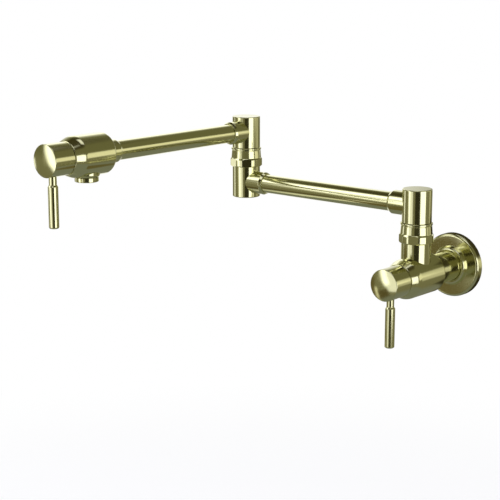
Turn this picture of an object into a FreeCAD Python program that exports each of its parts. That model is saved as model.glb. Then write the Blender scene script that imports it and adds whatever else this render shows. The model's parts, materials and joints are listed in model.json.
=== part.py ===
import FreeCAD, Part
import os
from math import cos, pi, radians, sin, tan

from FreeCAD import Placement, Rotation, Vector

# Folding wall-mounted kitchen faucet, in millimetres.
# The origin is the centre of the water inlet on the wall face.
# +X runs to the right along the wall, +Y into the wall, +Z up.

# Clearances
push_gap = 0.05       # radial, between pieces that are pressed, brazed or screwed together
running_gap = 0.05    # radial, between pieces that turn in each other
film_gap = 0.05       # axial, between faces that slide on a film of water or grease
free_gap = 0.3        # between pieces that pass each other without touching
overrun = 4.0         # how far a cutting tool reaches past the face that it opens

# Posts and their heads
post_d = 29.0
post_h = 32.6
post_edge_round = 0.9
post_waterway_d = 12.0
arm_to_post_end = 16.0      # arm axis from the closed end of its post
stub_above_barrel = 14.0    # top of the wall valve to the underside of the union nut
spigot_grip_h = 8.0         # length of the spigot that is screwed into its head

# Union nut of a swivel
nut_hex_h = 9.0
nut_collar_h = 8.5
nut_lip_h = 2.0
nut_roof_h = 3.0
nut_corner_d = 33.4
nut_flats_w = 31.9
nut_collar_base_d = 31.4
nut_collar_top_d = 30.2
nut_lip_d = 31.4
nut_taper_h = 1.6
nut_chamfer = 0.9
nut_groove_h = 0.7
nut_groove_depth = 0.5
wall_nut_turn = -5.8        # degrees, the way the flats happen to face
elbow_nut_turn = 12.8
nut_sides = 6
union_thread_d = 26.0

# Spigot, seals and bearing of a swivel
spigot_d = 19.0
spigot_bore_d = 12.0
spigot_reach = 14.0         # below the rim that the glide washer lies on
swivel_ring_wire = 2.0
swivel_ring_pitch = 5.0
retaining_ring_side_gap = 0.4   # between the ring and the nut's thread
retaining_ring_h = 2.5
retaining_groove_d = 16.6
glide_washer_h = 1.0
bore_floor_gap = 1.0

# Arms
inner_arm_reach = 216.7     # post axis to elbow axis
tube_d = 19.0
tube_wall = 1.5
socket_wall = 2.2
socket_reach = 28.6         # post axis to the end of the socket
socket_bevel_h = 2.6
socket_end_wall = 0.8
socket_shoulder = 2.5       # wall between the post and the end of the tube
socket_spigot_d = 14.6
socket_spigot_reach = 6.2   # how deep the socket's spigot enters the post
arm_waterway_d = 10.5

# Wall flange and inlet neck
flange_d = 64.4
flange_rim_h = 7.8
flange_rim_round = 1.1
flange_face_h = 8.2         # height of the face where it meets the raised collar
flange_wall = 2.6
flange_collar_h = 12.5
flange_collar_d = 36.2
flange_collar_base_d = 39.6
flange_collar_round = 0.7
flange_ring_wire = 1.6
neck_d = 30.0
inlet_thread_d = 18.63      # minor diameter of a G 1/2 female thread
inlet_thread_h = 16.0
neck_spigot_d = 19.0
neck_spigot_h = 9.0
wall_to_post = 70.45        # wall face to the axis of the upright post

# Valve bodies, measured along the valve from the axis of the side port
chamber_d = 24.0
barrel_wall = 7.7
barrel_nose_ledge = 0.4     # how far the front edge stands out beyond the handle's hub
barrel_taper_h = 9.2
barrel_edge_round = 0.6
wall_port_to_front = 28.85
wall_port_to_back = 25.15
spout_port_to_front = 26.75
spout_port_to_back = 22.0
barrel_back_round = 3.0
chamber_depth = 40.0
side_port_d = 14.6
side_spigot_wall = 1.3

# Outer arm and spout collar
outer_arm_reach = 228.0     # elbow axis to the axis of the outlet
collar_wall = 1.7
collar_h = 15.6
collar_bevel_h = 2.2
collar_end_wall = 0.6
collar_tube_depth = 13.0
collar_spigot_d = 15.0
collar_spigot_h = 6.0

# Outlet and aerator
boss_d = 26.8
boss_below_barrel = 0.7     # underside of the spout valve to the end of the boss
boss_round = 2.6
boss_spigot_d = 20.0
boss_bore_d = 17.0
aerator_h = 4.3
aerator_d = 22.6
aerator_round = 0.7
aerator_thread_h = 3.9
aerator_wall = 1.4
aerator_washer_h = 1.5
aerator_seat_w = 1.2
aerator_screen_h = 0.5
aerator_lip_h = 0.6
aerator_hole_d = 2.4
aerator_hole_pitch = 4.2
aerator_hole_count = 6

# Handles
hub_wall = 1.55
hub_h = 23.3
hub_dome = 2.0
hub_rim_round = 0.6
hub_seam = 0.5              # visible joint between hub and valve body
hub_pocket_gap = 0.55       # around the cartridge nut
hub_pocket_h = 4.0
wall_lever_to_rim = 11.5
spout_lever_to_rim = 8.8
lever_root = 7.9            # inner end of the lever from the hub's axis
lever_stem_d = 7.4
lever_grip_d = 9.6
lever_grip_start = 24.4
lever_shoulder_h = 1.6
lever_end = 63.3
lever_end_round = 1.6
set_screw_d = 4.0
set_screw_h = 6.0
set_screw_socket_w = 2.0
set_screw_socket_h = 2.5
spindle_d = 8.0
spindle_in_hub = 18.0       # above the front of the valve body
spindle_flat_depth = 0.6

# Ceramic cartridge, stacked on the seat at the bottom of the chamber
seat_seal_h = 1.5
seat_seal_bore_d = 14.0
disc_h = 2.5
disc_hole_d = 6.0
disc_rim_w = 1.6            # left between a hole and the edge of the disc
cartridge_wall = 2.0
foot_h = 3.0
foot_w = 6.0
window_d = 9.6
cartridge_front_wall_h = 14.0
spindle_ring_wire = 1.4
cartridge_nut_h = 8.0
cartridge_nut_ledge = 1.45  # how far the nut is wider than the chamber
cartridge_nut_bore_d = 17.0
cartridge_nut_rise = 2.0    # how far the nut stands out of the valve body
nut_slot_w = 4.0
nut_slot_h = 1.6

# Directions
up = Vector(0, 0, 1)
down = Vector(0, 0, -1)
out = Vector(0, -1, 0)
left = Vector(-1, 0, 0)
fillet_limit_share = 0.45   # a corner's round uses at most this much of a side

# Sizes and places worked out from those above
barrel_d = chamber_d + 2 * barrel_wall
skirt_bore_d = chamber_d - 2 * cartridge_wall
disc_hole_offset = skirt_bore_d / 2 - disc_rim_w - disc_hole_d / 2
cartridge_nut_d = chamber_d + 2 * cartridge_nut_ledge
hub_pocket_d = cartridge_nut_d + 2 * hub_pocket_gap
hub_d = hub_pocket_d + 2 * hub_wall
barrel_nose_d = hub_d + 2 * barrel_nose_ledge
socket_d = tube_d + 2 * socket_wall
collar_d = tube_d + 2 * collar_wall
stub_rise = barrel_d / 2 + stub_above_barrel
boss_drop = barrel_d / 2 + boss_below_barrel
aerator_drop = boss_drop + aerator_h
nut_h = nut_hex_h + nut_collar_h + nut_lip_h
rim_h = nut_h - nut_roof_h - free_gap - retaining_ring_h - film_gap - glide_washer_h
head_lift = nut_h + free_gap
arm_in_head = post_h - arm_to_post_end
wall_swivel_z = stub_rise
inner_arm_z = wall_swivel_z + head_lift + arm_in_head
elbow_base_z = inner_arm_z - arm_to_post_end
elbow_swivel_z = elbow_base_z + post_h
outer_arm_z = elbow_swivel_z + head_lift + arm_in_head
post_at = Vector(0, -wall_to_post, 0)
elbow_at = post_at + left * inner_arm_reach
outlet_at = elbow_at + out * outer_arm_reach + up * outer_arm_z

pieces = {}


def rounded_wire(outline):
    # Each corner is (radius, height) or (radius, height, round).
    corners = [Vector(point[0], 0, point[1]) for point in outline]
    rounds = [point[2] if len(point) > 2 else 0 for point in outline]
    starts, ends, edges = [], [], []
    for index, corner in enumerate(corners):
        before = corners[index - 1] - corner
        after = corners[(index + 1) % len(corners)] - corner
        if not rounds[index]:
            starts.append(corner)
            ends.append(corner)
            continue
        half_angle = before.getAngle(after) / 2
        longest = fillet_limit_share * min(before.Length, after.Length)
        setback = min(rounds[index] / tan(half_angle), longest)
        first = corner + before.normalize() * setback
        last = corner + after.normalize() * setback
        inward = (before + after).normalize()
        middle = corner + inward * setback * (1 - sin(half_angle)) / cos(half_angle)
        edges.append(Part.Arc(first, middle, last).toShape())
        starts.append(first)
        ends.append(last)
    for index, end in enumerate(ends):
        start = starts[(index + 1) % len(starts)]
        edges.append(Part.makeLine(end, start))
    return Part.Wire(Part.__sortEdges__(edges))


def turned(outline):
    return Part.Face(rounded_wire(outline)).revolve(Vector(), up, 360)


def rod(diameter, low, high):
    return Part.makeCylinder(diameter / 2, high - low, Vector(0, 0, low))


def pipe(outer_d, inner_d, low, high):
    return rod(outer_d, low, high).cut(rod(inner_d, low - overrun, high + overrun))


def o_ring(outer_d, wire, height):
    return Part.makeTorus((outer_d - wire) / 2, wire / 2, Vector(0, 0, height))


def prism(sides, across, low, high, turn=0):
    radius = across / 2 / cos(pi / sides)
    angles = [radians(turn) + (2 * side + 1) * pi / sides for side in range(sides)]
    points = [Vector(radius * cos(angle), radius * sin(angle), low) for angle in angles]
    face = Part.Face(Part.makePolygon(points + points[:1]))
    return face.extrude(up * (high - low))


def set_at(shape, place, direction=up):
    # Turns the shape's own +Z to the direction, then moves its origin to the place.
    moved = shape.copy()
    moved.Placement = Placement(place, Rotation(up, direction)).multiply(shape.Placement)
    return moved


def sideways(shape, height, direction):
    # Lays a shape made along +Z across the axis, at a height on it.
    return set_at(shape, up * height, direction)


def groove(outer_d, floor_d, width, middle):
    return pipe(outer_d + overrun, floor_d, middle - width / 2, middle + width / 2)


# Swivel joint: heights are measured from the underside of the union nut.
retaining_ring_d = union_thread_d - 2 * retaining_ring_side_gap
stub_bore_d = spigot_d + 2 * running_gap
swivel_ring_d = stub_bore_d - 2 * running_gap
stub_bore_floor = rim_h - spigot_reach - bore_floor_gap
ring_seat = rim_h + glide_washer_h + film_gap


def lower_post(bottom):
    # A post with the union thread on its upper end and the seal bore inside.
    outer = turned([(0, bottom), (post_d / 2, bottom, post_edge_round), (post_d / 2, 0),
                    (union_thread_d / 2, 0), (union_thread_d / 2, rim_h), (0, rim_h)])
    return outer.cut(rod(stub_bore_d, stub_bore_floor, rim_h + overrun))


def union_nut(turn):
    bore = union_thread_d / 2 + push_gap
    roof_bore = spigot_d / 2 + free_gap
    collar_top = nut_hex_h + nut_collar_h
    groove_r = nut_collar_top_d / 2 - nut_groove_depth
    blank = turned([
        (bore, 0), (nut_corner_d / 2 - nut_chamfer, 0), (nut_corner_d / 2, nut_chamfer),
        (nut_corner_d / 2, nut_hex_h - nut_taper_h), (nut_collar_base_d / 2, nut_hex_h),
        (nut_collar_top_d / 2, collar_top - nut_groove_h), (groove_r, collar_top - nut_groove_h),
        (groove_r, collar_top), (nut_lip_d / 2, collar_top, nut_groove_depth),
        (nut_lip_d / 2, nut_h, nut_groove_depth), (roof_bore, nut_h),
        (roof_bore, nut_h - nut_roof_h), (bore, nut_h - nut_roof_h)])
    return blank.common(prism(nut_sides, nut_flats_w, 0, nut_h, turn))


def swivel_spigot():
    bottom = rim_h - spigot_reach
    spigot = pipe(spigot_d, spigot_bore_d, bottom, head_lift + spigot_grip_h)
    for ring_at in swivel_ring_heights():
        floor_d = swivel_ring_d - 2 * swivel_ring_wire - 2 * push_gap
        spigot = spigot.cut(groove(spigot_d, floor_d, swivel_ring_wire + 2 * push_gap, ring_at))
    ring_middle = ring_seat + retaining_ring_h / 2
    width = retaining_ring_h + 2 * push_gap
    return spigot.cut(groove(spigot_d, retaining_groove_d, width, ring_middle))


def swivel_ring_heights():
    middle = rim_h - spigot_reach / 2
    return [middle - swivel_ring_pitch / 2, middle + swivel_ring_pitch / 2]


def build_swivel(name, place, turn):
    washer = pipe(retaining_ring_d, stub_bore_d, rim_h, rim_h + glide_washer_h)
    ring = pipe(retaining_ring_d, retaining_groove_d + 2 * push_gap, ring_seat, ring_seat + retaining_ring_h)
    rings = [o_ring(swivel_ring_d, swivel_ring_wire, height) for height in swivel_ring_heights()]
    pieces[name + "_union_nut"] = set_at(union_nut(turn), place)
    pieces[name + "_glide_washer"] = set_at(washer, place)
    pieces[name + "_swivel_spigot"] = set_at(swivel_spigot(), place)
    pieces[name + "_retaining_ring"] = set_at(ring, place)
    pieces[name + "_swivel_o_rings"] = set_at(Part.makeCompound(rings), place)


def swivel_head(arm_direction):
    # Height zero is the head's underside.
    head = turned([(0, 0), (post_d / 2, 0), (post_d / 2, post_h, post_edge_round), (0, post_h)])
    head = head.cut(rod(spigot_d + 2 * push_gap, -overrun, spigot_grip_h))
    head = head.cut(rod(post_waterway_d, 0, arm_in_head + post_waterway_d / 2))
    return head.cut(arm_hole(arm_in_head, arm_direction))


def arm_hole(height, direction):
    # The side hole of a post: a seat for the socket's spigot and a waterway behind it.
    seat = rod(socket_spigot_d + 2 * push_gap, post_d / 2 - socket_spigot_reach, post_d)
    waterway = rod(arm_waterway_d, 0, post_d)
    return sideways(seat.fuse(waterway), height, direction)


def arm_socket(place, direction):
    # The post's axis is height zero of the socket, and the arm runs along its own +Z.
    tube_end = post_d / 2 + socket_shoulder
    spigot_end = post_d / 2 - socket_spigot_reach
    bevel_r = tube_d / 2 + push_gap + socket_end_wall
    sleeve = turned([(0, 0), (socket_d / 2, 0), (socket_d / 2, socket_reach - socket_bevel_h),
                     (bevel_r, socket_reach), (0, socket_reach)])
    saddle = set_at(rod(post_d + 2 * push_gap, -post_d, post_d), Vector(), left)
    sleeve = sleeve.cut(saddle).fuse(rod(socket_spigot_d, spigot_end, tube_end))
    sleeve = sleeve.cut(rod(tube_d + 2 * push_gap, tube_end, socket_reach + overrun))
    sleeve = sleeve.cut(rod(arm_waterway_d, 0, socket_reach)).removeSplitter()
    # The saddle's axis is the sleeve's own +X, which stays upright.
    sleeve.Placement = Placement(place, Rotation(up, direction.cross(up), direction, "ZXY"))
    return sleeve


def build_wall_flange():
    bore = neck_d / 2 + push_gap
    ring_d = neck_d + 2 * push_gap + 2 * flange_ring_wire
    ring_middle = (flange_face_h + flange_collar_h) / 2
    boss_r = bore + flange_wall
    ceiling = flange_rim_h - flange_wall
    flange = turned([
        (bore, ceiling - flange_wall), (boss_r, ceiling - flange_wall), (boss_r, ceiling),
        (flange_d / 2 - flange_wall, ceiling), (flange_d / 2 - flange_wall, 0), (flange_d / 2, 0),
        (flange_d / 2, flange_rim_h, flange_rim_round), (flange_collar_base_d / 2, flange_face_h),
        (flange_collar_d / 2, flange_collar_h, flange_collar_round), (bore, flange_collar_h)])
    recess = rod(ring_d + 2 * push_gap, ring_middle - flange_ring_wire / 2 - push_gap,
                 ring_middle + flange_ring_wire / 2 + push_gap)
    pieces["wall_flange"] = set_at(flange.cut(recess), Vector(), out)
    pieces["flange_o_ring"] = set_at(o_ring(ring_d, flange_ring_wire, ring_middle), Vector(), out)


def build_inlet_neck():
    length = wall_to_post - wall_port_to_back
    neck = turned([(0, 0), (neck_d / 2, 0), (neck_d / 2, length), (neck_spigot_d / 2, length),
                   (neck_spigot_d / 2, length + neck_spigot_h), (0, length + neck_spigot_h)])
    neck = neck.cut(rod(inlet_thread_d, -overrun, inlet_thread_h))
    neck = neck.cut(rod(post_waterway_d, 0, length + neck_spigot_h + overrun))
    pieces["inlet_neck"] = set_at(neck, Vector(), out)


def barrel(front, back, back_hole_d, back_hole_h):
    # The chamber for the cartridge opens forward, the inlet hole backward.
    seat = front - chamber_depth
    body = turned([(0, -back), (barrel_d / 2, -back, barrel_back_round),
                   (barrel_d / 2, front - barrel_taper_h, barrel_edge_round),
                   (barrel_nose_d / 2, front, barrel_edge_round), (0, front)])
    body = body.cut(rod(chamber_d, seat, front + overrun))
    nut_seat = front + cartridge_nut_rise - cartridge_nut_h
    body = body.cut(rod(cartridge_nut_d + 2 * push_gap, nut_seat, front + overrun))
    body = body.cut(rod(back_hole_d + 2 * push_gap, -back - overrun, -back + back_hole_h))
    return body.cut(rod(post_waterway_d, -back, seat))


def build_wall_valve():
    body = barrel(wall_port_to_front, wall_port_to_back, neck_spigot_d, neck_spigot_h)
    port = set_at(rod(side_port_d + 2 * push_gap, 0, barrel_d), Vector(), Vector(0, 1, 0))
    pieces["wall_valve_body"] = set_at(body.cut(port), post_at, out)
    # The upright stub sits on the barrel in a saddle and carries the union thread.
    stub = lower_post(-stub_rise)
    saddle = set_at(rod(barrel_d + 2 * push_gap, -barrel_d, barrel_d), down * stub_rise, out)
    port_floor = chamber_d / 2 + side_spigot_wall - stub_rise
    stub = stub.cut(saddle).fuse(rod(side_port_d, port_floor, stub_bore_floor))
    stub = stub.cut(rod(arm_waterway_d, -stub_rise, stub_bore_floor)).removeSplitter()
    pieces["wall_outlet_stub"] = set_at(stub, post_at + up * stub_rise)


def build_spout_valve():
    body = barrel(spout_port_to_front, spout_port_to_back, collar_spigot_d, collar_spigot_h)
    port = set_at(rod(boss_spigot_d + 2 * push_gap, 0, barrel_d), Vector(), Vector(0, -1, 0))
    pieces["spout_valve_body"] = set_at(body.cut(port), outlet_at, out)
    # The collar holds the end of the outer arm's tube against the back of the barrel.
    bevel_r = tube_d / 2 + push_gap + collar_end_wall
    collar = turned([(0, -collar_spigot_h), (collar_spigot_d / 2, -collar_spigot_h), (collar_spigot_d / 2, 0),
                     (collar_d / 2, 0), (collar_d / 2, collar_h - collar_bevel_h), (bevel_r, collar_h),
                     (0, collar_h)])
    collar = collar.cut(rod(tube_d + 2 * push_gap, collar_h - collar_tube_depth, collar_h + overrun))
    collar = collar.cut(rod(arm_waterway_d, -collar_spigot_h - overrun, collar_h))
    pieces["outer_arm_spout_collar"] = set_at(collar, outlet_at - out * spout_port_to_back, -out)


def build_outlet():
    spigot_top = -chamber_d / 2 - side_spigot_wall
    seat = -boss_drop + aerator_thread_h + aerator_washer_h
    boss = turned([(0, -boss_drop), (boss_d / 2, -boss_drop, boss_round), (boss_d / 2, 0), (0, 0)])
    saddle = set_at(rod(barrel_d + 2 * push_gap, -barrel_d, barrel_d), Vector(), out)
    boss = boss.cut(saddle).fuse(rod(boss_spigot_d, -boss_drop, spigot_top))
    boss = boss.cut(rod(boss_bore_d, -boss_drop - overrun, seat))
    boss = boss.cut(rod(boss_bore_d - 2 * aerator_seat_w - 2 * aerator_wall, -boss_drop, 0))
    pieces["spout_outlet"] = set_at(boss.removeSplitter(), outlet_at)
    thread_r = boss_bore_d / 2 - push_gap
    bore = thread_r - aerator_wall
    lip = bore - aerator_seat_w
    thread_top = -boss_drop + aerator_thread_h
    floor = -aerator_drop + aerator_lip_h
    housing = turned([
        (lip, -aerator_drop), (aerator_d / 2, -aerator_drop, aerator_round),
        (aerator_d / 2, -boss_drop - film_gap), (thread_r, -boss_drop - film_gap), (thread_r, thread_top),
        (bore, thread_top), (bore, floor), (lip, floor)])
    pieces["aerator_housing"] = set_at(housing, outlet_at)
    insert_r = bore - push_gap
    screen = pierced_disc(insert_r, floor, floor + aerator_screen_h)
    insert = pierced_disc(insert_r, floor + aerator_screen_h, thread_top)
    pieces["aerator_screen"] = set_at(screen, outlet_at)
    pieces["aerator_insert"] = set_at(insert, outlet_at)
    washer = pipe(2 * thread_r, 2 * lip, thread_top, seat)
    pieces["aerator_washer"] = set_at(washer, outlet_at)


def pierced_disc(radius, low, high):
    # A disc with one hole in the middle and a ring of holes around it.
    disc = rod(2 * radius, low, high)
    hole = rod(aerator_hole_d, low - overrun, high + overrun)
    disc = disc.cut(hole)
    for number in range(aerator_hole_count):
        angle = 2 * pi * number / aerator_hole_count
        place = Vector(aerator_hole_pitch * cos(angle), aerator_hole_pitch * sin(angle), 0)
        disc = disc.cut(set_at(hole, place))
    return disc


def ported_disc(diameter, low, turn):
    # A ceramic disc with two opposite water holes.
    disc = rod(diameter, low, low + disc_h)
    for side in (1, -1):
        place = Vector(cos(radians(turn)), sin(radians(turn)), 0) * (side * disc_hole_offset)
        disc = disc.cut(set_at(rod(disc_hole_d, low - overrun, low + disc_h + overrun), place))
    return disc


def build_cartridge(name, place, front):
    # Heights run along the valve from the side port, with the spindle pointing out of the front.
    seat = front - chamber_depth
    disc_base = seat + seat_seal_h
    moving_base = disc_base + disc_h + film_gap
    foot_base = moving_base + disc_h
    body_top = front + cartridge_nut_rise - cartridge_nut_h
    wall_base = body_top - cartridge_front_wall_h
    body_d = chamber_d - 2 * push_gap
    bearing_d = spindle_d + 2 * running_gap
    ring_at = body_top - cartridge_front_wall_h / 2

    seal = pipe(body_d - 2 * push_gap, seat_seal_bore_d, seat, disc_base)
    body = rod(body_d, disc_base, body_top).cut(rod(skirt_bore_d, disc_base - overrun, wall_base))
    body = body.cut(rod(bearing_d, wall_base, body_top + overrun))
    window = rod(window_d, -barrel_d, barrel_d)
    body = body.cut(set_at(window, Vector(), Vector(0, 1, 0)))
    nut = pipe(cartridge_nut_d, cartridge_nut_bore_d, body_top, front + cartridge_nut_rise)
    slot = Part.makeBox(nut_slot_w, barrel_d, nut_slot_h + overrun)
    slot.translate(Vector(-nut_slot_w / 2, -barrel_d / 2, front + cartridge_nut_rise - nut_slot_h))
    pieces[name + "_cartridge_seal"] = set_at(seal, place, out)
    pieces[name + "_cartridge_body"] = set_at(body, place, out)
    pieces[name + "_cartridge_nut"] = set_at(nut.cut(slot), place, out)
    fixed = ported_disc(skirt_bore_d - 2 * push_gap, disc_base, 0)
    pieces[name + "_fixed_disc"] = set_at(fixed, place, out)

    # The moving half: closed at rest, so its holes lie across those of the fixed disc.
    moving_d = skirt_bore_d - 2 * free_gap
    moving = ported_disc(moving_d, moving_base, 90)
    pieces[name + "_moving_disc"] = set_at(moving, place, out)
    foot = Part.makeBox(skirt_bore_d, foot_w, foot_h)
    foot.translate(Vector(-skirt_bore_d / 2, -foot_w / 2, foot_base))
    foot = foot.common(rod(moving_d, foot_base, foot_base + foot_h))
    spindle = foot.fuse(rod(spindle_d, foot_base, front + spindle_in_hub)).removeSplitter()
    ring_d = bearing_d - 2 * running_gap
    floor_d = ring_d - 2 * spindle_ring_wire - 2 * push_gap
    spindle = spindle.cut(groove(spindle_d, floor_d, spindle_ring_wire + 2 * push_gap, ring_at))
    flat = Part.makeBox(spindle_d, spindle_d, spindle_in_hub + overrun)
    flat.translate(Vector(-spindle_d - spindle_d / 2 + spindle_flat_depth, -spindle_d / 2, front + hub_seam))
    pieces[name + "_spindle"] = set_at(spindle.cut(flat), place, out)
    ring = o_ring(ring_d, spindle_ring_wire, ring_at)
    pieces[name + "_spindle_o_ring"] = set_at(ring, place, out)


def domed_cylinder(radius, height, dome):
    # A cylinder whose upper face swells by the height of the dome.
    ball_r = (radius ** 2 + dome ** 2) / (2 * dome)
    ball = Part.makeSphere(ball_r, Vector(0, 0, height + dome - ball_r))
    blank = rod(2 * radius, 0, height + dome).common(ball)
    rim = [edge for edge in blank.Edges if edge.BoundBox.ZMin > 0 and edge.BoundBox.ZLength < hub_rim_round]
    return blank.makeFillet(hub_rim_round, rim)


def build_handle(name, place, front, lever_to_rim):
    # Height zero of the hub is its back edge, just ahead of the valve body.
    base = front + hub_seam
    lever_at = hub_h - lever_to_rim
    hub = domed_cylinder(hub_d / 2, hub_h, hub_dome)
    hub = hub.cut(rod(hub_pocket_d, -overrun, hub_pocket_h))
    hub = hub.cut(rod(spindle_d + 2 * push_gap, 0, spindle_in_hub - hub_seam + free_gap))
    lever_hole = rod(lever_stem_d + 2 * push_gap, lever_root - push_gap, hub_d)
    hub = hub.cut(sideways(lever_hole, lever_at, Vector(0, -1, 0)))
    screw_hole = rod(set_screw_d + 2 * push_gap, 0, hub_d)
    hub = hub.cut(sideways(screw_hole, lever_at, left))
    hub_place = place + out * base
    pieces[name + "_handle_hub"] = set_at(hub, hub_place, out)

    lever = turned([
        (0, lever_root), (lever_stem_d / 2, lever_root),
        (lever_stem_d / 2, lever_grip_start - lever_shoulder_h), (lever_grip_d / 2, lever_grip_start),
        (lever_grip_d / 2, lever_end, lever_end_round), (0, lever_end)])
    pieces[name + "_handle_lever"] = set_at(lever, hub_place + out * lever_at, down)

    tip = spindle_d / 2 - spindle_flat_depth + push_gap
    screw = rod(set_screw_d, tip, tip + set_screw_h)
    socket_floor = tip + set_screw_h - set_screw_socket_h
    screw = screw.cut(prism(nut_sides, set_screw_socket_w, socket_floor, tip + set_screw_h + overrun))
    pieces[name + "_handle_screw"] = set_at(screw, hub_place + out * lever_at, left)


def build_arms():
    tube_bore = tube_d - 2 * tube_wall
    tube_start = post_d / 2 + socket_shoulder
    inner_at = post_at + up * inner_arm_z
    far_at = elbow_at + up * inner_arm_z
    outer_at = elbow_at + up * outer_arm_z
    pieces["wall_swivel_head"] = set_at(swivel_head(left), post_at + up * (wall_swivel_z + head_lift))
    pieces["inner_arm_wall_socket"] = arm_socket(inner_at, left)
    pieces["inner_arm_tube"] = set_at(pipe(tube_d, tube_bore, tube_start, inner_arm_reach - tube_start),
                                      inner_at, left)
    pieces["inner_arm_elbow_socket"] = arm_socket(far_at, -left)

    post = lower_post(-post_h)
    post = post.cut(rod(post_waterway_d, arm_to_post_end - post_h - post_waterway_d / 2, 0))
    post = post.cut(arm_hole(arm_to_post_end - post_h, -left))
    pieces["elbow_lower_post"] = set_at(post, elbow_at + up * elbow_swivel_z)

    pieces["elbow_swivel_head"] = set_at(swivel_head(out), elbow_at + up * (elbow_swivel_z + head_lift))
    pieces["outer_arm_elbow_socket"] = arm_socket(outer_at, out)
    collar_end = outer_arm_reach - spout_port_to_back - collar_h
    pieces["outer_arm_tube"] = set_at(pipe(tube_d, tube_bore, tube_start, collar_end + collar_tube_depth),
                                      outer_at, out)


build_wall_flange()
build_inlet_neck()
build_wall_valve()
build_cartridge("wall", post_at, wall_port_to_front)
build_handle("wall", post_at, wall_port_to_front, wall_lever_to_rim)
build_swivel("wall", post_at + up * wall_swivel_z, wall_nut_turn)
build_arms()
build_swivel("elbow", elbow_at + up * elbow_swivel_z, elbow_nut_turn)
build_spout_valve()
build_outlet()
build_cartridge("spout", outlet_at, spout_port_to_front)
build_handle("spout", outlet_at, spout_port_to_front, spout_lever_to_rim)

os.makedirs("parts", exist_ok=True)
for node, shape in pieces.items():
    shape.exportStep("parts/" + node + ".step")
    print(node, "solids", len(shape.Solids), "valid", shape.isValid(), "volume", round(shape.Volume, 1))
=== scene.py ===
import bmesh
import bpy
import json
from math import asin, cos, pi, radians, sin, sqrt
from mathutils import Matrix, Quaternion, Vector


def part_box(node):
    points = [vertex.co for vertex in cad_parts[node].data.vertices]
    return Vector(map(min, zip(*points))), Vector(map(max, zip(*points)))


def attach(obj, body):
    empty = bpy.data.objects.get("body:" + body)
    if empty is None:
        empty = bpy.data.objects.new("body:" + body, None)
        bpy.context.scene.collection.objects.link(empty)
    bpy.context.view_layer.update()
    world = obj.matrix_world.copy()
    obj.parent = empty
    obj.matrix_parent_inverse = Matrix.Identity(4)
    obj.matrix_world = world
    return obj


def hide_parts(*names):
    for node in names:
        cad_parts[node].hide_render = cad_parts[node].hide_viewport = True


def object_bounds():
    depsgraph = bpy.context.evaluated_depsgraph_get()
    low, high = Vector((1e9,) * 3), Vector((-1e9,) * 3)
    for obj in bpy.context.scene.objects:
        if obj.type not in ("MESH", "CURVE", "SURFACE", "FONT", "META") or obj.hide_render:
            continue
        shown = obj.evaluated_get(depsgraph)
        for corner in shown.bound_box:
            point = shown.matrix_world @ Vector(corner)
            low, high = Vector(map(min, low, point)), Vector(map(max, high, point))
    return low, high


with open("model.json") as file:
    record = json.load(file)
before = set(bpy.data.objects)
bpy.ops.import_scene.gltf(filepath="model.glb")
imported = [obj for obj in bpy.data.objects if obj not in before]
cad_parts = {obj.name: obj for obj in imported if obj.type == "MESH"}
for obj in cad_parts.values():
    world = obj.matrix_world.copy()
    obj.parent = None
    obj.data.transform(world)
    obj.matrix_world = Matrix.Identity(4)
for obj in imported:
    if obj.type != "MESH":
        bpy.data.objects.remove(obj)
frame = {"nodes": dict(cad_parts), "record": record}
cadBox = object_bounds()

mm = 0.001  # outlines are in millimetres, the scene in metres
upward = Vector((0, 0, 1))
downward = Vector((0, 0, -1))
outward = Vector((0, -1, 0))  # away from the wall
inward = Vector((0, 1, 0))
leftward = Vector((-1, 0, 0))
rightward = Vector((1, 0, 0))

turning = {
    "steps": 144,  # around a full turn
    "roundSteps": 5,  # along each rounded corner
    "edgeBreak": 0.2,  # how far a sharp corner is broken
    "crease": radians(35),  # edges sharper than this stay hard
    "tight": 0.001,  # points nearer than this, in millimetres, count as one
    "cutTight": 0.000001,  # the same where a plane cuts a shape
    "axisClear": 1.0,  # points nearer the axis than this, in millimetres, stay where they are
}
broken = turning["edgeBreak"]
fitGap = 0.05  # room around what is pressed or brazed into a seat, in millimetres
valves = ("wall", "spout")
swivels = ("wall", "elbow")
bodies = frame["record"]["behaviour"]["bodies"]
bodyOfNode = {node: body for body, nodes in bodies.items() for node in nodes}


def middleOf(node):
    low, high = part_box(node)
    return (low + high) / 2


def span(node, direction):
    # Where a turned node starts along a direction, then its length and its radius in millimetres.
    low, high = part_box(node)
    half = (high - low) / 2
    reach = abs(half.dot(direction))
    radius = min(half[axis] for axis in range(3) if not direction[axis])
    return middleOf(node) - direction * reach, 2 * reach / mm, radius / mm


def startOf(node, direction):
    return span(node, direction)[0]


def radiusOf(node, direction):
    return span(node, direction)[2]


def turned(outline, closed=False):
    # Spins an outline of (radius, height, round) around the vertical axis.
    bm = bmesh.new()
    corners = [bm.verts.new((radius, 0, height)) for radius, height, rounding in outline]
    ends = corners[1:] + corners[:1] if closed else corners[1:]
    for first, last in zip(corners, ends):
        bm.edges.new((first, last))
    for corner, (radius, height, rounding) in zip(corners, outline):
        if rounding:
            bmesh.ops.bevel(
                bm, geom=[corner], offset=rounding, offset_type="OFFSET", affect="VERTICES",
                segments=turning["roundSteps"], profile=0.5, material=-1)
    bmesh.ops.spin(
        bm, geom=bm.verts[:] + bm.edges[:], cent=(0, 0, 0), axis=upward, angle=2 * pi,
        steps=turning["steps"], use_merge=True)
    bmesh.ops.remove_doubles(bm, verts=bm.verts, dist=turning["tight"])
    bmesh.ops.recalc_face_normals(bm, faces=bm.faces)
    return bm


def place(bm, foot, direction):
    turn = upward.rotation_difference(direction).to_matrix().to_4x4()
    bmesh.ops.transform(bm, matrix=Matrix.Translation(foot) @ turn @ Matrix.Scale(mm, 4), verts=bm.verts)


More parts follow.
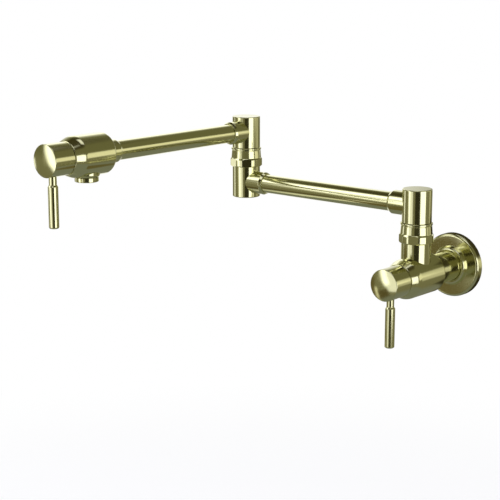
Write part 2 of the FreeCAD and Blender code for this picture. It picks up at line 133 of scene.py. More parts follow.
def drilled(bm, drill):
    # Cuts one closed shape out of another.
    holders = []
    for shape in (bm, drill):
        mesh = bpy.data.meshes.new("drilling")
        shape.to_mesh(mesh)
        shape.free()
        holders.append(bpy.data.objects.new("drilling", mesh))
        bpy.context.scene.collection.objects.link(holders[-1])
    cut = holders[0].modifiers.new("cut", "BOOLEAN")
    cut.operation = "DIFFERENCE"
    cut.solver = "EXACT"
    cut.object = holders[1]
    made = bmesh.new()
    made.from_object(holders[0], bpy.context.evaluated_depsgraph_get())
    for holder in holders:
        bpy.data.objects.remove(holder)
    return made


def makePiece(name, bm, node, material):
    for face in bm.faces:
        face.smooth = True
    for edge in bm.edges:
        if edge.calc_face_angle(0) > turning["crease"]:
            edge.smooth = False
    mesh = bpy.data.meshes.new(name)
    bm.to_mesh(mesh)
    bm.free()
    mesh.materials.append(material)
    piece = bpy.data.objects.new(name, mesh)
    bpy.context.scene.collection.objects.link(piece)
    normals = piece.modifiers.new("weightedNormals", "WEIGHTED_NORMAL")
    normals.keep_sharp = True
    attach(piece, bodyOfNode[node])
    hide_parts(node)


class Wire:
    # An output socket: arithmetic on wires adds Math nodes to their tree.
    def __init__(self, tree, socket=None):
        self.tree = tree
        self.socket = socket

    def node(self, kind, settings=None, inputs=None, output=0):
        made = self.tree.nodes.new(kind)
        for key, value in (settings or {}).items():
            if key == "stops":
                for index, (position, colour) in enumerate(value):
                    stops = made.color_ramp.elements
                    # a new ramp already has its first two stops
                    stop = stops[index] if index < 2 else stops.new(position)
                    stop.position = position
                    stop.color = colour
            else:
                setattr(made, key, value)
        for key, value in (inputs or {}).items():
            if isinstance(value, Wire):
                self.tree.links.new(value.socket, made.inputs[key])
            else:
                made.inputs[key].default_value = value
        return Wire(self.tree, made.outputs[output] if made.outputs else None)

    def maths(self, operation, first, second):
        return self.node("ShaderNodeMath", {"operation": operation}, {0: first, 1: second})

    def __add__(self, other):
        return self.maths("ADD", self, other)

    def __radd__(self, other):
        return self.maths("ADD", other, self)

    def __sub__(self, other):
        return self.maths("SUBTRACT", self, other)

    def __rsub__(self, other):
        return self.maths("SUBTRACT", other, self)

    def __mul__(self, other):
        return self.maths("MULTIPLY", self, other)

    def __rmul__(self, other):
        return self.maths("MULTIPLY", other, self)

    def larger(self, other):
        return self.maths("MAXIMUM", self, other)


def newMaterial(name):
    material = bpy.data.materials.new(name)
    material.use_nodes = True
    material.node_tree.nodes.clear()
    return material, Wire(material.node_tree)


def noiseAt(tree, where, scale, detail, rough):
    inputs = {"Vector": where, "Scale": scale, "Detail": detail, "Roughness": rough}
    return tree.node("ShaderNodeTexNoise", {}, inputs)


def stretched(tree, where, scale):
    return tree.node("ShaderNodeMapping", {}, {"Vector": where, "Scale": scale})


def blended(tree, factor, first, last):
    # A Mix node has its colours on inputs 6 and 7 and on output 2.
    return tree.node("ShaderNodeMix", {"data_type": "RGBA"}, {0: factor, 6: first, 7: last}, 2)


def bumped(tree, height, distance):
    return tree.node("ShaderNodeBump", {}, {"Strength": 1.0, "Distance": distance, "Height": height})


def finishWith(tree, inputs):
    shader = tree.node("ShaderNodeBsdfPrincipled", {}, inputs)
    tree.node("ShaderNodeOutputMaterial", {}, {"Surface": shader})


brassFinish = {
    "colour": (0.80, 0.79, 0.47, 1),
    "deepColour": (0.78, 0.765, 0.435, 1),
    "roughness": 0.10,
    "smudge": 0.05,  # roughness that old finger marks add
    "smudgeScale": 55,
    "smudgeDetail": 4.0,
    "grain": 1400,  # polishing lines to the metre, across the way that they run
    "grainLength": 24,
    "grainHeight": 0.000001,
    "grainDetail": 3.0,
    "noiseRough": 0.6,
}


def polishedBrass(name, axis):
    # Brass with faint polishing lines around its own axis.
    finish = brassFinish
    material, tree = newMaterial(name)
    where = tree.node("ShaderNodeTexCoord", {}, {}, "Object")
    scale = [finish["grainLength"]] * 3
    scale[axis] = finish["grain"]
    lines = noiseAt(tree, stretched(tree, where, scale), 1.0, finish["grainDetail"], finish["noiseRough"])
    smudges = noiseAt(tree, where, finish["smudgeScale"], finish["smudgeDetail"], finish["noiseRough"])
    tint = blended(tree, smudges, finish["colour"], finish["deepColour"])
    bump = bumped(tree, lines, finish["grainHeight"])
    roughness = finish["roughness"] + smudges * finish["smudge"]
    finishWith(tree, {"Base Color": tint, "Metallic": 1.0, "Roughness": roughness, "Normal": bump})
    return material


brassAcross = polishedBrass("polishedBrassAcross", 0)
brassOut = polishedBrass("polishedBrassOut", 1)
brassUpright = polishedBrass("polishedBrassUpright", 2)

innerFinishes = {
    "bare_brass": {"colour": (0.62, 0.45, 0.20, 1), "deep": (0.52, 0.36, 0.15, 1), "rough": 0.32,
                   "metal": 1.0, "scale": 300, "height": 0.00002},
    "stainless_steel": {"colour": (0.58, 0.57, 0.55, 1), "deep": (0.48, 0.47, 0.46, 1), "rough": 0.28,
                        "metal": 1.0, "scale": 500, "height": 0.00001},
    "black_rubber": {"colour": (0.018, 0.018, 0.019, 1), "deep": (0.03, 0.03, 0.03, 1), "rough": 0.62,
                     "metal": 0.0, "scale": 900, "height": 0.00004},
    "white_ceramic": {"colour": (0.86, 0.85, 0.82, 1), "deep": (0.80, 0.79, 0.76, 1), "rough": 0.12,
                      "metal": 0.0, "scale": 700, "height": 0.000004},
    "white_ptfe": {"colour": (0.84, 0.84, 0.83, 1), "deep": (0.77, 0.77, 0.76, 1), "rough": 0.45,
                   "metal": 0.0, "scale": 400, "height": 0.00002},
    "grey_plastic": {"colour": (0.36, 0.37, 0.38, 1), "deep": (0.30, 0.31, 0.32, 1), "rough": 0.42,
                     "metal": 0.0, "scale": 1100, "height": 0.00003},
}
innerNoise = {
    "detail": 5.0,
    "rough": 0.6,
    "cloudSize": 10,  # how many times larger the clouds are than the grain
    "cloudDetail": 2.0,
    "cloudRough": 0.5,
    "leastRough": 0.8,  # share of a finish's roughness in the hollows of the grain
    "roughSpread": 0.4,
}


def innerMaterial(slot):
    finish = innerFinishes[slot]
    noise = innerNoise
    material, tree = newMaterial("inner_" + slot)
    where = tree.node("ShaderNodeTexCoord", {}, {}, "Object")
    grain = noiseAt(tree, where, finish["scale"], noise["detail"], noise["rough"])
    cloudScale = finish["scale"] / noise["cloudSize"]
    clouds = noiseAt(tree, where, cloudScale, noise["cloudDetail"], noise["cloudRough"])
    tint = blended(tree, clouds, finish["colour"], finish["deep"])
    bump = bumped(tree, grain, finish["height"])
    roughness = finish["rough"] * (noise["leastRough"] + grain * noise["roughSpread"])
    metal = finish["metal"]
    finishWith(tree, {"Base Color": tint, "Metallic": metal, "Roughness": roughness, "Normal": bump})
    return material


slotOfNode = {part["node"]: part["material_slot"] for part in frame["record"]["subparts"]}
innerMaterials = {slot: innerMaterial(slot) for slot in innerFinishes}
print("materials made:", len(bpy.data.materials))

# Wall flange and inlet neck
flangeShape = {"rimHeight": 8.0, "rimRound": 2.8, "wall": 2.6, "faceHeight": 8.0, "collarBase": 19.8,
               "collarTop": 18.1, "collarRound": 1.5, "collarInnerRound": 1.2}


def makeFlange():
    shape = flangeShape
    foot, height, radius = span("wall_flange", outward)
    bore = radiusOf("inlet_neck", outward) + fitGap
    ceiling = shape["rimHeight"] - shape["wall"]
    bm = turned([
        (bore, ceiling - shape["wall"], 0), (bore + shape["wall"], ceiling - shape["wall"], broken),
        (bore + shape["wall"], ceiling, 0), (radius - shape["wall"], ceiling, 0),
        (radius - shape["wall"], 0, broken), (radius, 0, broken),
        (radius, shape["rimHeight"], shape["rimRound"]), (shape["collarBase"], shape["faceHeight"], broken),
        (shape["collarTop"], height, shape["collarRound"]),
        (bore, height, shape["collarInnerRound"])], closed=True)
    place(bm, foot, outward)
    makePiece("wallFlange", bm, "wall_flange", brassOut)


# The neck and the spout collar end in spigots that plug into the backs of the valve barrels
spigots = {"wall": {"radius": 9.5, "length": 9.0}, "spout": {"radius": 7.5, "length": 6.0}}
neckShape = {"inletRadius": 9.315, "inletDepth": 16.0, "waterway": 6.0}


def makeNeck():
    shape = neckShape
    spigot = spigots["wall"]
    foot, length, radius = span("inlet_neck", outward)
    face = length - spigot["length"]
    bm = turned([
        (shape["inletRadius"], 0, broken), (radius, 0, broken), (radius, face, broken),
        (spigot["radius"], face, 0), (spigot["radius"], length, broken),
        (shape["waterway"], length, 0), (shape["waterway"], shape["inletDepth"], 0),
        (shape["inletRadius"], shape["inletDepth"], 0)], closed=True)
    place(bm, foot, outward)
    makePiece("inletNeck", bm, "inlet_neck", brassOut)


# Valve bodies
barrelShape = {"nose": 15.95, "taper": 9.2, "shoulderRound": 2.8, "noseRound": 0.8, "backRound": 3.0,
               "chamber": 12.0, "chamberDepth": 40.0, "nutSeat": 13.5, "nutDepth": 6.0, "waterway": 6.0}


def makeBarrel(valve):
    shape = barrelShape
    node = valve + "_valve_body"
    foot, length, radius = span(node, outward)
    hole = spigots[valve]["radius"] + fitGap
    holeFloor = spigots[valve]["length"]
    seat = length - shape["chamberDepth"]
    nutFloor = length - shape["nutDepth"]
    bm = turned([
        (hole, 0, broken), (radius, 0, shape["backRound"]),
        (radius, length - shape["taper"], shape["shoulderRound"]),
        (shape["nose"], length, shape["noseRound"]), (shape["nutSeat"], length, broken),
        (shape["nutSeat"], nutFloor, 0), (shape["chamber"], nutFloor, 0), (shape["chamber"], seat, 0),
        (shape["waterway"], seat, 0), (shape["waterway"], holeFloor, 0), (hole, holeFloor, 0)], closed=True)
    place(bm, foot, outward)
    makePiece(valve + "Barrel", bm, node, brassOut)


makeFlange()
makeNeck()
for valve in valves:
    makeBarrel(valve)
print("wall flange, neck and valve barrels made")


def sinkOnto(bm, height, axis, radius, side=1):
    # Moves the rings of points at a height onto a cylinder that lies across, along X (0) or Y (1).
    # A side of 1 is the cylinder's upper half, and -1 its lower half.
    for vert in bm.verts:
        if abs(vert.co.z - height) < turning["tight"] and vert.co.xy.length > turning["axisClear"]:
            vert.co.z = side * sqrt(radius ** 2 - vert.co[1 - axis] ** 2)


# Posts and swivel heads
postShape = {
    "edgeRound": 0.9, "height": 32.6, "threadRadius": 13.0, "rimHeight": 12.65, "boreRadius": 9.55,
    "boreFloor": -2.35, "grip": 8.0, "waterway": 6.0, "waterwayTop": 22.6, "tipShare": 0.5, "sink": 0.3,
}


def threadedTop(radius):
    # Outline of the upper end of a lower post, from its shoulder inwards.
    shape = postShape
    return [
        (radius, 0, broken), (shape["threadRadius"], 0, 0),
        (shape["threadRadius"], shape["rimHeight"], broken),
        (shape["boreRadius"], shape["rimHeight"], broken),
        (shape["boreRadius"], shape["boreFloor"], 0), (0, shape["boreFloor"], 0)]


def makeOutletStub():
    shape = postShape
    axisAt = middleOf("wall_valve_body").z
    barrelRadius = radiusOf("wall_valve_body", outward)
    foot = middleOf("wall_outlet_stub")
    foot.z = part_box("wall_union_nut")[0].z
    radius = radiusOf("wall_outlet_stub", upward)
    drop = (foot.z - axisAt) / mm
    low = barrelRadius - drop
    tip = low - radius * shape["tipShare"]  # of the hidden cone that closes the foot
    bm = turned([(0, tip, 0), (radius, low, 0)] + threadedTop(radius))
    bmesh.ops.translate(bm, verts=bm.verts, vec=upward * drop)
    sinkOnto(bm, low + drop, 1, barrelRadius - shape["sink"])
    bmesh.ops.translate(bm, verts=bm.verts, vec=downward * drop)
    place(bm, foot, upward)
    makePiece("wallOutletStub", bm, "wall_outlet_stub", brassUpright)


def makeElbowPost():
    shape = postShape
    radius = radiusOf("elbow_lower_post", upward)
    foot = startOf("elbow_lower_post", upward)
    foot.z += shape["height"] * mm
    low = -shape["height"]
    bm = turned([(0, low, 0), (radius, low, shape["edgeRound"])] + threadedTop(radius))
    place(bm, foot, upward)
    makePiece("elbowLowerPost", bm, "elbow_lower_post", brassUpright)


def makeHead(swivel):
    shape = postShape
    node = swivel + "_swivel_head"
    foot, height, radius = span(node, upward)
    bm = turned([
        (0, height, 0), (radius, height, shape["edgeRound"]), (radius, 0, broken),
        (shape["boreRadius"], 0, broken), (shape["boreRadius"], shape["grip"], 0),
        (shape["waterway"], shape["grip"], 0), (shape["waterway"], shape["waterwayTop"], 0),
        (0, shape["waterwayTop"], 0)])
    place(bm, foot, upward)
    makePiece(swivel + "SwivelHead", bm, node, brassUpright)


makeOutletStub()
makeElbowPost()
for swivel in swivels:
    makeHead(swivel)
print("posts and swivel heads made")

# Union nuts: turned, with six flats cut on the lower part
nutShape = {
    "hexHeight": 9.0, "collarHeight": 8.5, "roof": 3.0, "sides": 6, "corner": 16.7, "flat": 15.95,
    "collarBase": 15.7, "collarTop": 15.1, "lip": 15.7, "lipRound": 0.5, "taper": 1.6, "chamfer": 0.9,
    "grooveHeight": 0.7, "grooveDepth": 0.5, "bore": 13.05, "roofBore": 9.8,
    "turns": {"wall": -5.8, "elbow": 12.8},  # where the first flat of each nut looks, in degrees from +X
}


def makeUnionNut(swivel):
    shape = nutShape
    node = swivel + "_union_nut"
    foot, height = span(node, upward)[:2]
    hexTop = shape["hexHeight"]
    collarTop = hexTop + shape["collarHeight"]
    grooveFoot = collarTop - shape["grooveHeight"]
    grooveRadius = shape["collarTop"] - shape["grooveDepth"]
    roof = height - shape["roof"]
    bm = turned([
        (shape["bore"], 0, broken), (shape["corner"] - shape["chamfer"], 0, broken),
        (shape["corner"], shape["chamfer"], broken), (shape["corner"], hexTop - shape["taper"], broken),
        (shape["collarBase"], hexTop, broken), (shape["collarTop"], grooveFoot, broken),
        (grooveRadius, grooveFoot, 0), (grooveRadius, collarTop, 0),
        (shape["lip"], collarTop, shape["lipRound"]), (shape["lip"], height, shape["lipRound"]),
        (shape["roofBore"], height, broken), (shape["roofBore"], roof, 0),
        (shape["bore"], roof, 0)], closed=True)
    for side in range(shape["sides"]):
        angle = radians(shape["turns"][swivel]) + 2 * pi * side / shape["sides"]
        across = Vector((cos(angle), sin(angle), 0))
        cut = bmesh.ops.bisect_plane(
            bm, geom=bm.verts[:] + bm.edges[:] + bm.faces[:], dist=turning["cutTight"],
            plane_co=across * shape["flat"], plane_no=across, clear_outer=True)
        rim = [edge for edge in cut["geom_cut"] if isinstance(edge, bmesh.types.BMEdge)]
        bmesh.ops.edgeloop_fill(bm, edges=rim)
        for edge in rim:
            edge.smooth = False
    bmesh.ops.recalc_face_normals(bm, faces=bm.faces)
    place(bm, foot, upward)
    makePiece(swivel + "UnionNut", bm, node, brassUpright)


for swivel in swivels:
    makeUnionNut(swivel)
print("union nuts made")

# Arms
tubeShape = {"wall": 1.5}


def makeTube(name, node, direction, material):
    foot, length, radius = span(node, direction)
    bore = radius - tubeShape["wall"]
    bm = turned([
        (bore, 0, broken), (radius, 0, broken), (radius, length, broken),
        (bore, length, broken)], closed=True)
    place(bm, foot, direction)
    makePiece(name, bm, node, material)


socketShape = {"reach": 28.6, "bevel": 2.6, "endWall": 0.8, "tubeStart": 17.0, "waterway": 5.25,
               "tipShare": 0.5, "sink": 0.3}


def makeSocket(name, node, post, tube, direction, material):
    shape = socketShape
    foot = middleOf(post)
    foot.z = middleOf(tube).z
    radius = radiusOf(node, direction)
    postRadius = radiusOf(post, upward)
    tubeRadius = radiusOf(tube, direction) + fitGap
    mouth = tubeRadius + shape["endWall"]
    tip = postRadius * shape["tipShare"]  # of the hidden cone inside the post
    bm = turned([
        (0, tip, 0), (radius, postRadius, 0), (radius, shape["reach"] - shape["bevel"], broken),
        (mouth, shape["reach"], broken), (tubeRadius, shape["reach"], broken),
        (tubeRadius, shape["tubeStart"], 0), (shape["waterway"], shape["tubeStart"], 0),
        (shape["waterway"], postRadius, 0), (0, postRadius, 0)])
    # The post stands upright, which is the socket's own X or Y once it is laid along its arm.
    turn = upward.rotation_difference(direction).to_matrix()
    standing = turn.inverted() @ upward
    uprightAxis = 0 if abs(standing.x) > abs(standing.y) else 1
    sinkOnto(bm, postRadius, uprightAxis, postRadius - shape["sink"])
    place(bm, foot, direction)
    makePiece(name, bm, node, material)


makeTube("innerArmTube", "inner_arm_tube", leftward, brassAcross)
makeTube("outerArmTube", "outer_arm_tube", outward, brassOut)
makeSocket(
    "innerArmWallSocket", "inner_arm_wall_socket", "wall_swivel_head", "inner_arm_tube",
    leftward, brassAcross)
makeSocket(
    "innerArmElbowSocket", "inner_arm_elbow_socket", "elbow_lower_post", "inner_arm_tube",
    rightward, brassAcross)
makeSocket(
    "outerArmElbowSocket", "outer_arm_elbow_socket", "elbow_swivel_head", "outer_arm_tube",
    outward, brassOut)

collarShape = {"bevel": 2.2, "endWall": 0.6, "tubeDepth": 13.0, "waterway": 5.25}


def makeSpoutCollar():
    shape = collarShape
    spigot = spigots["spout"]
    foot, length, radius = span("outer_arm_spout_collar", inward)
    tubeRadius = radiusOf("outer_arm_tube", outward) + fitGap
    floor = length - shape["tubeDepth"]
    bm = turned([
        (shape["waterway"], 0, 0), (spigot["radius"], 0, broken), (spigot["radius"], spigot["length"], 0),
        (radius, spigot["length"], broken), (radius, length - shape["bevel"], broken),
        (tubeRadius + shape["endWall"], length, broken), (tubeRadius, length, broken),
        (tubeRadius, floor, 0), (shape["waterway"], floor, 0)], closed=True)
    place(bm, foot, inward)
    makePiece("outerArmSpoutCollar", bm, "outer_arm_spout_collar", brassOut)


makeSpoutCollar()
print("arms made")

# Outlet and aerator
outletShape = {"endRound": 2.6, "bore": 8.5, "seatDepth": 5.4, "waterway": 5.9, "waterwayDepth": 1.0,
               "sink": 0.3}


def makeOutlet():
    shape = outletShape
    barrelRadius = radiusOf("spout_valve_body", outward)
    radius = radiusOf("spout_outlet", upward)
    axisAt = middleOf("spout_valve_body").z
    foot = startOf("spout_outlet", upward)
    low = (foot.z - axisAt) / mm
    foot.z = axisAt
    seat = low + shape["seatDepth"]
    ceiling = seat + shape["waterwayDepth"]
    top = radius - barrelRadius
    bm = turned([
        (0, ceiling, 0), (shape["waterway"], ceiling, 0), (shape["waterway"], seat, 0),
        (shape["bore"], seat, 0), (shape["bore"], low, broken), (radius, low, shape["endRound"]),
        (radius, top, 0), (0, top, 0)])
    sinkOnto(bm, top, 1, barrelRadius - shape["sink"], -1)
    place(bm, foot, upward)
    makePiece("spoutOutlet", bm, "spout_outlet", brassUpright)


aeratorShape = {"ring": 4.25, "endRound": 0.7, "thread": 8.45, "bore": 7.05, "lip": 5.85, "lipHeight": 0.6}


def makeAerator():
    shape = aeratorShape
    foot, height, radius = span("aerator_housing", upward)
    bm = turned([
        (shape["lip"], 0, broken), (radius, 0, shape["endRound"]), (radius, shape["ring"], broken),
        (shape["thread"], shape["ring"], 0), (shape["thread"], height, broken),
        (shape["bore"], height, broken), (shape["bore"], shape["lipHeight"], 0),
        (shape["lip"], shape["lipHeight"], broken)], closed=True)
    place(bm, foot, upward)
    makePiece("aeratorRing", bm, "aerator_housing", brassUpright)


makeOutlet()
makeAerator()
print("outlet made")

# Handles
hubShape = {"dome": 2.0, "domeSteps": 10, "rimRound": 0.6, "rearRound": 0.5, "pocket": 14.0,
            "pocketDepth": 4.0, "spindle": 4.05, "spindleDepth": 17.8, "screwHole": 2.05}


def makeHub(valve):
    shape = hubShape
    node = valve + "_handle_hub"
    foot, length, radius = span(node, outward)
    side = length - shape["dome"]
    ball = (radius ** 2 + shape["dome"] ** 2) / (2 * shape["dome"])
    sweep = asin(radius / ball)
    angles = [sweep * step / shape["domeSteps"] for step in range(shape["domeSteps"] + 1)]
    dome = [(ball * sin(angle), length - ball + ball * cos(angle), 0) for angle in angles]
    dome[-1] = (radius, side, shape["rimRound"])
    bm = turned(dome + [
        (radius, 0, shape["rearRound"]), (shape["pocket"], 0, broken),
        (shape["pocket"], shape["pocketDepth"], 0), (shape["spindle"], shape["pocketDepth"], 0),
        (shape["spindle"], shape["spindleDepth"], 0), (0, shape["spindleDepth"], 0)])
    place(bm, foot, outward)
    hole = shape["screwHole"]
    drill = turned([(0, 0, 0), (hole, 0, 0), (hole, length, 0), (0, length, 0)])
    screwAt = middleOf(valve + "_handle_screw").y
    place(drill, Vector((foot.x, screwAt, foot.z)), leftward)
    makePiece(valve + "HandleHub", drilled(bm, drill), node, brassOut)


leverShape = {"stem": 3.7, "gripStart": 16.5, "shoulder": 1.6, "endRound": 1.6}


def makeLever(valve):
    shape = leverShape
    node = valve + "_handle_lever"
    foot, length, radius = span(node, downward)
    bm = turned([
        (0, 0, 0), (shape["stem"], 0, 0), (shape["stem"], shape["gripStart"] - shape["shoulder"], broken),
        (radius, shape["gripStart"], broken), (radius, length, shape["endRound"]), (0, length, 0)])
    place(bm, foot, downward)
    makePiece(valve + "HandleLever", bm, node, brassUpright)


for valve in valves:
    makeHub(valve)
    makeLever(valve)
print("handles made")

# Inner nodes keep their solids and get the material of their slot
for node, part in frame["nodes"].items():
    if part.hide_render:
        continue
    slot = slotOfNode[node]
    part.data.materials.clear()
    part.data.materials.append(innerMaterials[slot])
print("inner nodes dressed")

# Studio: white background, an olive tent with a slot behind the object, soft lamps and dark cards
studio = {"white": (1, 1, 1, 1), "grey": (0.7, 0.7, 0.7, 1), "floorDrop": 0.45}
cameraShape = {"azimuth": 40.65, "at": (0.7314, -1.1685, 0.3116), "forward": (-0.6365, 0.7412, -0.2132),
               "lens": 99.73, "sensor": 36}
target = (cadBox[0] + cadBox[1]) / 2
floorAt = cadBox[0].z - studio["floorDrop"]


def seenBy(tree):
    # One for the camera's own rays, and one for those that come off metal or through glass.
    camera = tree.node("ShaderNodeLightPath", {}, {}, "Is Camera Ray")
    glossy = tree.node("ShaderNodeLightPath", {}, {}, "Is Glossy Ray")
    through = tree.node("ShaderNodeLightPath", {}, {}, "Is Transmission Ray")
    return camera, glossy + through


def fade(tree, value, limits):
    # Zero at the first limit, one at the second.
    return tree.node(
        "ShaderNodeMapRange", {"interpolation_type": "SMOOTHSTEP"}, {0: value, 1: limits[0], 2: limits[1]})


def makeWorld():
    world = bpy.data.worlds.new("studioWorld")
    bpy.context.scene.world = world
    world.use_nodes = True
    world.node_tree.nodes.clear()
    tree = Wire(world.node_tree)
    white = tree.node("ShaderNodeBackground", {}, {"Color": studio["white"], "Strength": 1.0})
    grey = tree.node("ShaderNodeBackground", {}, {"Color": studio["grey"], "Strength": 1.0})
    camera, mirrored = seenBy(tree)
    mixed = tree.node("ShaderNodeMixShader", {}, {0: camera + mirrored, 1: grey, 2: white})
    tree.node("ShaderNodeOutputWorld", {}, {"Surface": mixed})


def stageMesh(name, bm, material):
    mesh = bpy.data.meshes.new(name)
    bm.to_mesh(mesh)
    bm.free()
    mesh.materials.append(material)
    piece = bpy.data.objects.new(name, mesh)
    bpy.context.scene.collection.objects.link(piece)
    return piece


def onlyInMetal(piece):
    # Seen in reflections alone, so that it neither hides the object nor shades it.
    piece.visible_camera = False
    piece.visible_diffuse = False
    piece.visible_shadow = False


floorShape = {"size": 12.0, "paper": (0.8, 0.8, 0.8, 1), "lift": 0.24, "shadowReach": (0.7, 1.3)}


def makeFloor():
    # Paper that keeps the object's shadow, turns plain white further out and is clear from below.
    bm = bmesh.new()
    bmesh.ops.create_grid(bm, x_segments=1, y_segments=1, size=floorShape["size"])
    bmesh.ops.translate(bm, verts=bm.verts, vec=(0, 0, floorAt))
    material, tree = newMaterial("paleFloor")
    where = tree.node("ShaderNodeTexCoord", {}, {}, "Object")
    under = Vector((target.x, target.y, floorAt))
    away = tree.node("ShaderNodeVectorMath", {"operation": "DISTANCE"}, {0: where, 1: under}, "Value")
    camera, mirrored = seenBy(tree)
    paper = tree.node("ShaderNodeBsdfDiffuse", {}, {"Color": floorShape["paper"]})
    lift = tree.node("ShaderNodeEmission", {}, {"Color": studio["white"], "Strength": floorShape["lift"]})
    lifted = tree.node("ShaderNodeAddShader", {}, {0: paper, 1: lift})
    near = tree.node("ShaderNodeMixShader", {}, {0: camera, 1: paper, 2: lifted})
    white = tree.node("ShaderNodeEmission", {}, {"Color": studio["white"], "Strength": 1.0})
    bare = camera * fade(tree, away, floorShape["shadowReach"]) + mirrored
    topSide = tree.node("ShaderNodeMixShader", {}, {0: bare, 1: near, 2: white})
    below = tree.node("ShaderNodeNewGeometry", {}, {}, "Backfacing")
    clear = tree.node("ShaderNodeBsdfTransparent")
    mixed = tree.node("ShaderNodeMixShader", {}, {0: below, 1: topSide, 2: clear})
    tree.node("ShaderNodeOutputMaterial", {}, {"Surface": mixed})
    stageMesh("floor", bm, material)


tent = {
    "radius": 2.2, "gap": 0.02, "steps": 96, "riseSteps": 8,
    # shades of the cloth, from straight down at 0 to straight up at 1, and where they are level
    "shades": {
        0.22: (0.19, 0.20, 0.17), 0.27: (0.19, 0.18, 0.11), 0.46: (0.20, 0.19, 0.115),
        0.54: (0.15, 0.145, 0.074), 0.86: (0.15, 0.145, 0.074), 0.92: (0.05, 0.044, 0.017)},
    "level": 0.5,
}
# The tent opens behind the object. Each pair runs from closed to fully open, in parts of its radius.
opening = {"azimuth": -175, "side": (0.40, 0.16), "behind": (0.0, 0.1), "top": (0.73, 0.45),
           "foot": (-0.50, -0.42)}
rightAngle = 90


def awayAt(azimuth, elevation):
    # Direction from the object, by degrees from the camera's side and up from level.
    turn = radians(cameraShape["azimuth"] + azimuth)
    rise = radians(elevation)
    return Vector((sin(turn) * cos(rise), -cos(turn) * cos(rise), sin(rise)))


def along(tree, direction, axis):
    return tree.node("ShaderNodeVectorMath", {"operation": "DOT_PRODUCT"}, {0: direction, 1: axis}, "Value")


def makeTent():
    radius = tent["radius"]
    low = floorAt - target.z + tent["gap"]
    rises = [pi / 2 * step / tent["riseSteps"] for step in range(tent["riseSteps"] + 1)]
    outline = [(0, low), (sqrt(radius ** 2 - low ** 2), low)]
    outline += [(radius * cos(rise), radius * sin(rise)) for rise in rises]
    bm = bmesh.new()
    corners = [bm.verts.new((reach, 0, height)) for reach, height in outline]
    edges = [bm.edges.new(pair) for pair in zip(corners, corners[1:])]
    bmesh.ops.spin(
        bm, geom=corners + edges, cent=(0, 0, 0), axis=upward, angle=2 * pi,
        steps=tent["steps"], use_merge=True)
    bmesh.ops.remove_doubles(bm, verts=bm.verts, dist=mm)
    material, tree = newMaterial("oliveTent")
    where = tree.node("ShaderNodeTexCoord", {}, {}, "Object")
    direction = tree.node("ShaderNodeVectorMath", {"operation": "NORMALIZE"}, {0: where})
    rise = along(tree, direction, upward)
    side = along(tree, direction, awayAt(opening["azimuth"] + rightAngle, 0))
    behind = along(tree, direction, awayAt(opening["azimuth"], 0))
    opened = fade(tree, side.larger(0 - side), opening["side"]) * fade(tree, behind, opening["behind"])
    opened = opened * fade(tree, rise, opening["top"]) * fade(tree, rise, opening["foot"])
    stops = [(at, shade + (1,)) for at, shade in tent["shades"].items()]
    shade = tree.node("ShaderNodeValToRGB", {"stops": stops}, {0: rise * tent["level"] + tent["level"]})
    glow = tree.node("ShaderNodeEmission", {}, {"Color": shade})
    clear = tree.node("ShaderNodeBsdfTransparent")
    mixed = tree.node("ShaderNodeMixShader", {}, {0: opened, 1: glow, 2: clear})
    tree.node("ShaderNodeOutputMaterial", {}, {"Surface": mixed})
    cloth = stageMesh("oliveTent", bm, material)
    cloth.location = target
    onlyInMetal(cloth)


# Places are in degrees from the camera's side and up from level, then in metres from the object.
# Half sizes and soft edges are in metres, rolls in degrees. Cards with faces lie square to that way.
cool = (0.97, 0.98, 1.1, 1)
warm = (1.0, 0.97, 0.82, 1)
lamps = {
    "leftBox": {"place": (-62, 9.5, 1.10), "half": (1.02, 0.30), "roll": 60, "soft": 0.07,
                "tint": cool, "level": 0.8},
    "boxCore": {"place": (-72, 2, 1.10), "half": (0.36, 0.12), "roll": 58, "soft": 0.06,
                "tint": cool, "level": 0.85},
    "leftTop": {"place": (-95, 38, 1.30), "half": (0.25, 0.30), "roll": 57, "soft": 0.10,
                "tint": cool, "level": 1.2},
    "leftFill": {"place": (-79, 6, 1.50), "half": (0.14, 0.32), "roll": 0, "soft": 0.12,
                 "tint": warm, "level": 0.12},
    "leftBand": {"place": (-72, -7, 2.1), "half": (0.16, 0.12), "roll": 0, "soft": 0.06,
                 "tint": warm, "level": 0.2},
    "leftStrip": {"place": (-116, -8, 2.1), "half": (0.20, 0.14), "roll": 0, "soft": 0.05,
                  "tint": cool, "level": 1.0},
    "capStreak": {"place": (-90, -43, 0.26), "half": (0.018, 0.047), "roll": 0, "soft": 0.015,
                  "tint": warm, "level": 0.7},
    "window": {"place": (44, -2, 1.8), "half": (0.66, 0.62), "roll": 5, "soft": 0.10,
               "tint": cool, "level": 1.6},
    "sideStrip": {"place": (88, 6, 2.1), "half": (0.50, 0.34), "roll": -9, "soft": 0.10,
                  "tint": warm, "level": 0.75},
    "sideDim": {"place": (107, 1, 2.1), "half": (0.22, 0.40), "roll": 0, "soft": 0.10,
                "tint": warm, "level": 0.42},
    "lowLeft": {"place": (-112, -51, 0.68), "half": (0.20, 0.07), "roll": 2, "soft": 0.05,
                "tint": warm, "level": 0.6},
    "backGlow": {"place": (188, 22, 2.0), "half": (0.5, 0.30), "roll": 0, "soft": 0.15,
                 "tint": cool, "level": 0.4},
    "overhead": {"place": (-15, 64, 1.7), "half": (0.50, 0.40), "roll": 0, "soft": 0.15,
                 "tint": cool, "level": 1.0},
    "rearTop": {"place": (140, 68, 1.7), "half": (0.45, 0.24), "roll": 0, "soft": 0.12,
                "tint": cool, "level": 0.9},
    "rearLeft": {"place": (-132, 12, 1.9), "half": (0.30, 0.30), "roll": 0, "soft": 0.08,
                 "tint": cool, "level": 1.0},
    "rearRight": {"place": (138, 6, 1.9), "half": (0.30, 0.25), "roll": 0, "soft": 0.08,
                  "tint": cool, "level": 1.0},
}
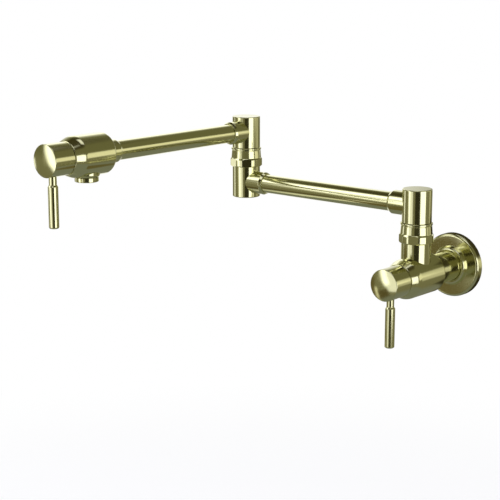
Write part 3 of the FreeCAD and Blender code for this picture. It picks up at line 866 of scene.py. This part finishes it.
cards = {
    "darkCard": {"place": (4, -11, 1.40), "half": (0.50, 0.28), "roll": 0, "soft": 0.06,
                 "shade": (0.028, 0.026, 0.012)},
    "frontCard": {"place": (-38, 35, 1.0), "half": (0.52, 0.22), "roll": 0, "soft": 0.05,
                  "shade": (0.03, 0.026, 0.01)},
    "flangeCard": {"place": (173, -74, 0.086), "half": (0.036, 0.044), "roll": 0, "soft": 0.006,
                   "shade": (0.13, 0.107, 0.043), "faces": Vector((0.64, 0.74, 0.21))},
    "brownCard": {"place": (-86, -34, 0.80), "half": (0.36, 0.09), "roll": -10, "soft": 0.02,
                  "shade": (0.10, 0.08, 0.03)},
    "behindLow": {"place": (110, -18.5, 0.217), "half": (0.045, 0.018), "roll": 0, "soft": 0.004,
                  "shade": (0.03, 0.026, 0.01), "faces": inward},
    "behindHigh": {"place": (110, -3, 0.207), "half": (0.045, 0.016), "roll": 0, "soft": 0.004,
                   "shade": (0.04, 0.035, 0.015), "faces": inward},
}
edgeReach = 1.2  # soft edges run this many times their own value to each side of a half size
halfUnit = 0.5  # half of a card that runs from 0 to 1


def fullSizes(card):
    return [2 * (half + edgeReach * card["soft"]) for half in card["half"]]


def softMask(tree, where, card):
    # One over a card, falling to nothing across its soft edge; where runs from 0 to 1 over the card.
    masks = []
    for axis, size in enumerate(fullSizes(card)):
        part = tree.node("ShaderNodeSeparateXYZ", {}, {0: where}, axis)
        band = min(2 * edgeReach * card["soft"] / size, halfUnit)
        masks.append(fade(tree, part * (1 - part), (0.0, band * (1 - band))))
    return masks[0] * masks[1]


def hang(holder, card):
    azimuth, elevation, distance = card["place"]
    away = awayAt(azimuth, elevation)
    holder.location = target + away * distance
    holder.rotation_mode = "QUATERNION"
    facing = card.get("faces", away).to_track_quat("Z", "Y")
    holder.rotation_quaternion = facing @ Quaternion(upward, -radians(card["roll"]))
    holder.visible_camera = False


def makeLamp(name, lamp):
    light = bpy.data.lights.new(name, "AREA")
    light.shape = "RECTANGLE"
    light.size, light.size_y = fullSizes(lamp)
    light.energy = pi * light.size * light.size_y * lamp["level"]
    light.use_nodes = True
    light.node_tree.nodes.clear()
    tree = Wire(light.node_tree)
    where = tree.node("ShaderNodeNewGeometry", {}, {}, "Parametric")
    strength = softMask(tree, where, lamp)
    glow = tree.node("ShaderNodeEmission", {}, {"Color": lamp["tint"], "Strength": strength})
    tree.node("ShaderNodeOutputLight", {}, {"Surface": glow})
    holder = bpy.data.objects.new(name, light)
    bpy.context.scene.collection.objects.link(holder)
    hang(holder, lamp)


def makeCard(name, card):
    width, height = fullSizes(card)
    bm = bmesh.new()
    bmesh.ops.create_grid(bm, x_segments=1, y_segments=1, size=halfUnit)
    bmesh.ops.scale(bm, vec=(width, height, 1), verts=bm.verts)
    material, tree = newMaterial(name)
    where = tree.node("ShaderNodeTexCoord", {}, {}, "Generated")
    glow = tree.node("ShaderNodeEmission", {}, {"Color": card["shade"] + (1,)})
    clear = tree.node("ShaderNodeBsdfTransparent")
    mixed = tree.node("ShaderNodeMixShader", {}, {0: softMask(tree, where, card), 1: clear, 2: glow})
    tree.node("ShaderNodeOutputMaterial", {}, {"Surface": mixed})
    panel = stageMesh(name, bm, material)
    hang(panel, card)
    onlyInMetal(panel)


def makeCamera():
    view = bpy.data.cameras.new("camera")
    view.lens = cameraShape["lens"]
    view.sensor_width = cameraShape["sensor"]
    camera = bpy.data.objects.new("camera", view)
    bpy.context.scene.collection.objects.link(camera)
    camera.location = cameraShape["at"]
    camera.rotation_mode = "QUATERNION"
    camera.rotation_quaternion = Vector(cameraShape["forward"]).to_track_quat("-Z", "Y")
    bpy.context.scene.camera = camera


makeWorld()
makeFloor()
makeTent()
for name, lamp in lamps.items():
    makeLamp(name, lamp)
for name, card in cards.items():
    makeCard(name, card)
makeCamera()
bpy.context.scene.view_settings.view_transform = "Standard"
print("studio made")
